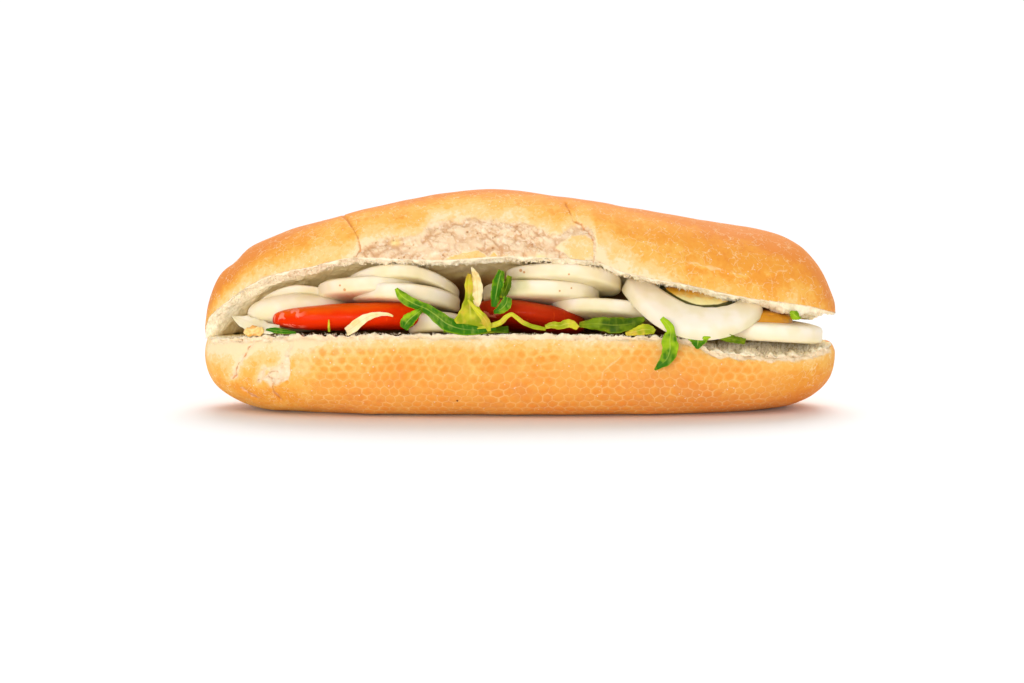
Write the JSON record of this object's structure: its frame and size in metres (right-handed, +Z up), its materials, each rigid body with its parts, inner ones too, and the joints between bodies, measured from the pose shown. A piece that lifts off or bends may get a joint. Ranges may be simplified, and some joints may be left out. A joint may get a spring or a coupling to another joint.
{
  "type": "egg sandwich",
  "caption": "Long crusty white roll opened along its front, filled with sliced boiled egg, tomato and strips of green salad leaf",
  "frame": {"origin": "on the flat underside of the roll, under the middle of the bounding box", "axes": "+X runs along the roll, -Y is the open front with the fillings, +Z is up"},
  "size_m": [0.22, 0.0798, 0.0764],
  "materials": {
    "crust": "matt golden bread crust",
    "egg_white": "smooth, slightly moist",
    "yolk": "soft and crumbly",
    "tomato": "wet and glossy",
    "leaf_green": "satin leaf",
    "leaf_dark": "satin leaf",
    "leaf_yellow": "satin leaf",
    "leaf_pale": "satin rib"
  },
  "bodies": {
    "root": {"leaf_01": "leaf_green", "leaf_02": "leaf_green", "leaf_03": "leaf_yellow", "leaf_04": "leaf_pale", "leaf_05": "leaf_yellow", "leaf_06": "leaf_green", "leaf_07": "leaf_dark", "leaf_08": "leaf_green", "leaf_09": "leaf_yellow", "leaf_10": "leaf_yellow", "leaf_11": "leaf_dark", "leaf_12": "leaf_yellow", "leaf_13": "leaf_green", "leaf_14": "leaf_green", "leaf_15": "leaf_dark", "leaf_16": "leaf_green", "leaf_17": "leaf_yellow", "leaf_18": "leaf_green", "leaf_19": "leaf_dark", "leaf_rib": "leaf_pale", "egg_scrap": "egg_white", "egg_yolk_10": "yolk", "egg_slice_10": "egg_white", "egg_yolk_11": "yolk", "egg_slice_11": "egg_white", "tomato_slice_1": "tomato", "tomato_slice_2": "tomato", "egg_slice_09": "egg_white", "egg_slice_05": "egg_white", "egg_slice_06": "egg_white", "egg_slice_08": "egg_white", "egg_slice_07": "egg_white", "egg_slice_03": "egg_white", "egg_slice_04": "egg_white", "egg_slice_01": "egg_white", "egg_slice_02": "egg_white", "yolk_scrap": "yolk", "bread_base": "crust", "bread_crown": "crust"}
  },
  "joints": []
}
